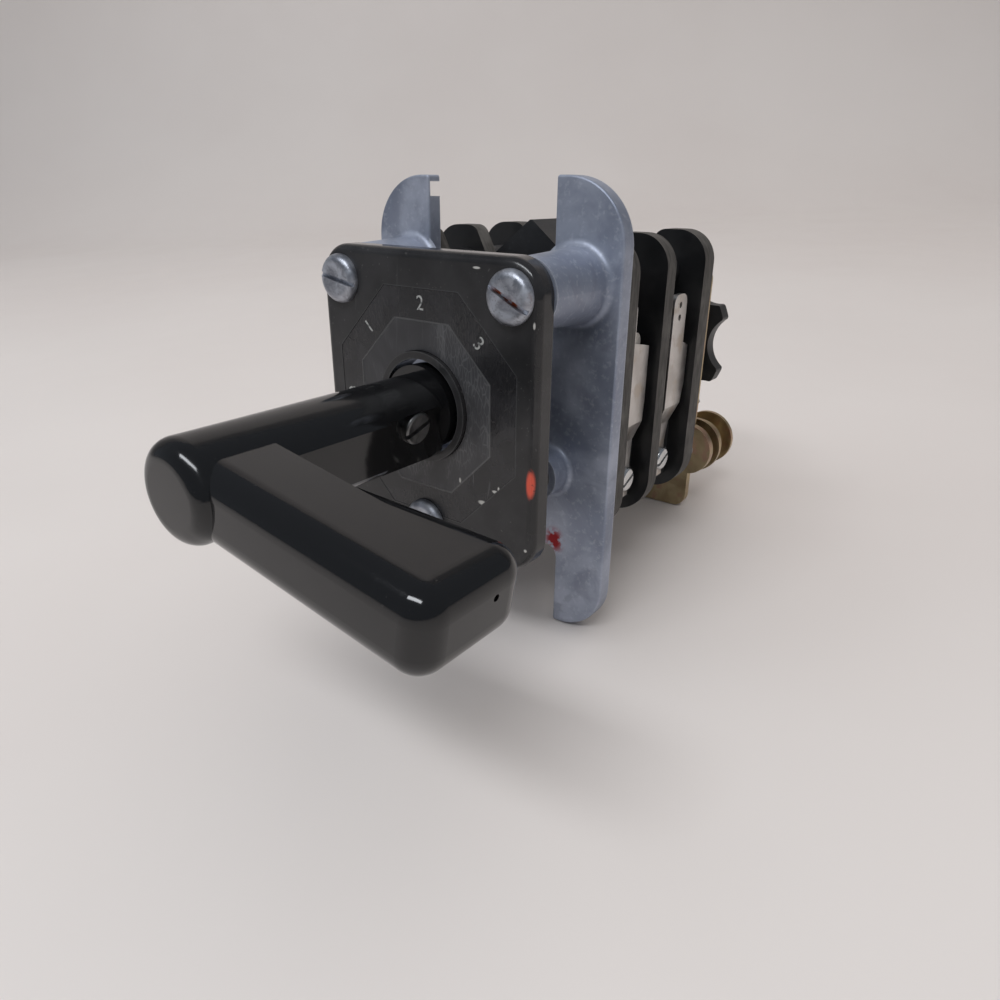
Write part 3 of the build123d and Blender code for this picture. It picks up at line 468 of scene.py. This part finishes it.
def detent_coil():
    low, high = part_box("detent_spring")
    post_low, post_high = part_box("spring_post")
    roller_low, roller_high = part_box("detent_roller")
    middle = (low + high) / 2
    wire, hook_gap = 0.35 * MM, 0.03 * MM
    radius = (high.x - low.x) / 2 - wire
    hook_radius = (post_high.x - post_low.x) / 2 + wire + hook_gap
    # the arm's stub lies level with the roller's axis
    stub = Vector((middle.x, middle.y, (roller_low.z + roller_high.z) / 2))
    post = Vector((middle.x, middle.y, (post_low.z + post_high.z) / 2))
    turns, steps = 22, 20
    path = hook(stub, hook_radius, -250, 90)
    for i in range(turns * steps + 1):
        turn = 2 * math.pi * i / steps
        height = low.z + wire + (high.z - low.z - 2 * wire) * i / (turns * steps)
        path.append((middle.x + radius * math.cos(turn), middle.y + radius * math.sin(turn), height))
    path += hook(post, hook_radius, -90, 250)
    curve = bpy.data.curves.new("detent_coil_path", "CURVE")
    curve.dimensions = "3D"
    curve.bevel_depth = wire
    curve.bevel_resolution = 2
    curve.resolution_u = 3
    line = curve.splines.new("NURBS")
    line.points.add(len(path) - 1)
    for point, place in zip(line.points, path):
        point.co = (*place, 1)
    line.order_u = 3
    line.use_endpoint_u = True
    mesh = bpy.data.meshes.new_from_object(bpy.data.objects.new("detent_coil_path", curve))
    mesh.materials.clear()
    mesh.materials.append(steel)
    mesh.shade_smooth()
    made = bpy.data.objects.new("detent_coil", mesh)
    bpy.context.scene.collection.objects.link(made)
    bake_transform(made)
    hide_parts("detent_spring")


detent_coil()


# ---------------------------------------------------------------------------
# Stage: pale floor with a curved backdrop, soft lights, and the camera fitted to the photograph
# ---------------------------------------------------------------------------
CAMERA_AT = (0.10815, -0.12010, 0.04485)
CAMERA_AZIMUTH = 37.01
CAMERA_ELEVATION = 23.09
CAMERA_ROLL = 0.55
CAMERA_LENS = 26.61


def backdrop():
    """Floor that leans with the object, which rests on its front bars and the foot of its rear plate."""
    bars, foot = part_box("front_frame"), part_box("rear_plate")
    lean = math.atan2(foot[0].z - bars[0].z, foot[1].y - bars[1].y)
    floor_gap = 0.05 * MM
    mesh = bpy.data.meshes.new("floor")
    shape = bmesh.new()
    front, back, bend, top, half_width = -2.5, 0.75, 0.35, 1.6, 3.0
    profile = [(front, 0.0), (back, 0.0)]
    for degrees in range(6, 91, 6):
        angle = math.radians(degrees)
        profile.append((back + bend * math.sin(angle), bend - bend * math.cos(angle)))
    profile.append((back + bend, top))
    rows = []
    for x in (-half_width, half_width):
        rows.append([shape.verts.new((x, y, z)) for y, z in profile])
    for i in range(len(profile) - 1):
        shape.faces.new((rows[0][i], rows[1][i], rows[1][i + 1], rows[0][i + 1]))
    shape.to_mesh(mesh)
    shape.free()
    mesh.shade_smooth()
    made = bpy.data.objects.new("floor", mesh)
    bpy.context.scene.collection.objects.link(made)
    turn = Matrix.Rotation(math.radians(CAMERA_AZIMUTH), 4, "Z")
    pivot = Matrix.Translation((0, bars[1].y, bars[0].z - floor_gap))
    made.matrix_world = pivot @ Matrix.Rotation(lean, 4, "X") @ turn
    mesh.materials.append(pale_floor())


def area_light(name, at, target, size, power, color, glossy=True):
    light = bpy.data.lights.new(name, "AREA")
    light.shape = "RECTANGLE"
    light.size, light.size_y = size
    light.energy = power
    light.color = color
    made = bpy.data.objects.new(name, light)
    bpy.context.scene.collection.objects.link(made)
    made.location = at
    made.rotation_euler = (Vector(target) - Vector(at)).to_track_quat("-Z", "Y").to_euler()
    made.visible_glossy = glossy


def lights():
    area_light("window", at=(0.08, -0.73, 0.96), target=(0, 0, 0), size=(1.0, 0.20), power=7.5,
               color=(0.93, 0.96, 1.0))
    area_light("ceiling", at=(0.25, 0.35, 1.25), target=(0, 0.04, 0), size=(2.4, 2.0), power=13.5,
               color=(1.0, 0.96, 0.93), glossy=False)
    area_light("fill", at=(-0.75, -0.45, 0.75), target=(0, 0.02, 0), size=(0.8, 0.8), power=3.0,
               color=(0.90, 0.95, 1.0), glossy=False)
    world = bpy.data.worlds.new("studio")
    world.use_nodes = True
    world.node_tree.nodes["Background"].inputs["Color"].default_value = (0.80, 0.88, 1.0, 1)
    world.node_tree.nodes["Background"].inputs["Strength"].default_value = 0.2
    bpy.context.scene.world = world


def camera():
    azimuth, elevation, roll = (math.radians(v) for v in (CAMERA_AZIMUTH, CAMERA_ELEVATION, CAMERA_ROLL))
    back = Vector((math.sin(azimuth) * math.cos(elevation), -math.cos(azimuth) * math.cos(elevation),
                   math.sin(elevation)))
    right = Vector((0, 0, 1)).cross(back).normalized()
    up = back.cross(right)
    tilted_right = right * math.cos(roll) + up * math.sin(roll)
    tilted_up = up * math.cos(roll) - right * math.sin(roll)
    data = bpy.data.cameras.new("camera")
    data.lens = CAMERA_LENS
    data.sensor_width = 36.0
    data.clip_start = 0.005
    made = bpy.data.objects.new("camera", data)
    bpy.context.scene.collection.objects.link(made)
    turn = Matrix((tilted_right, tilted_up, back)).transposed().to_4x4()
    made.matrix_world = Matrix.Translation(CAMERA_AT) @ turn
    bpy.context.scene.camera = made


backdrop()
lights()
camera()
bpy.context.scene.view_settings.view_transform = "Standard"
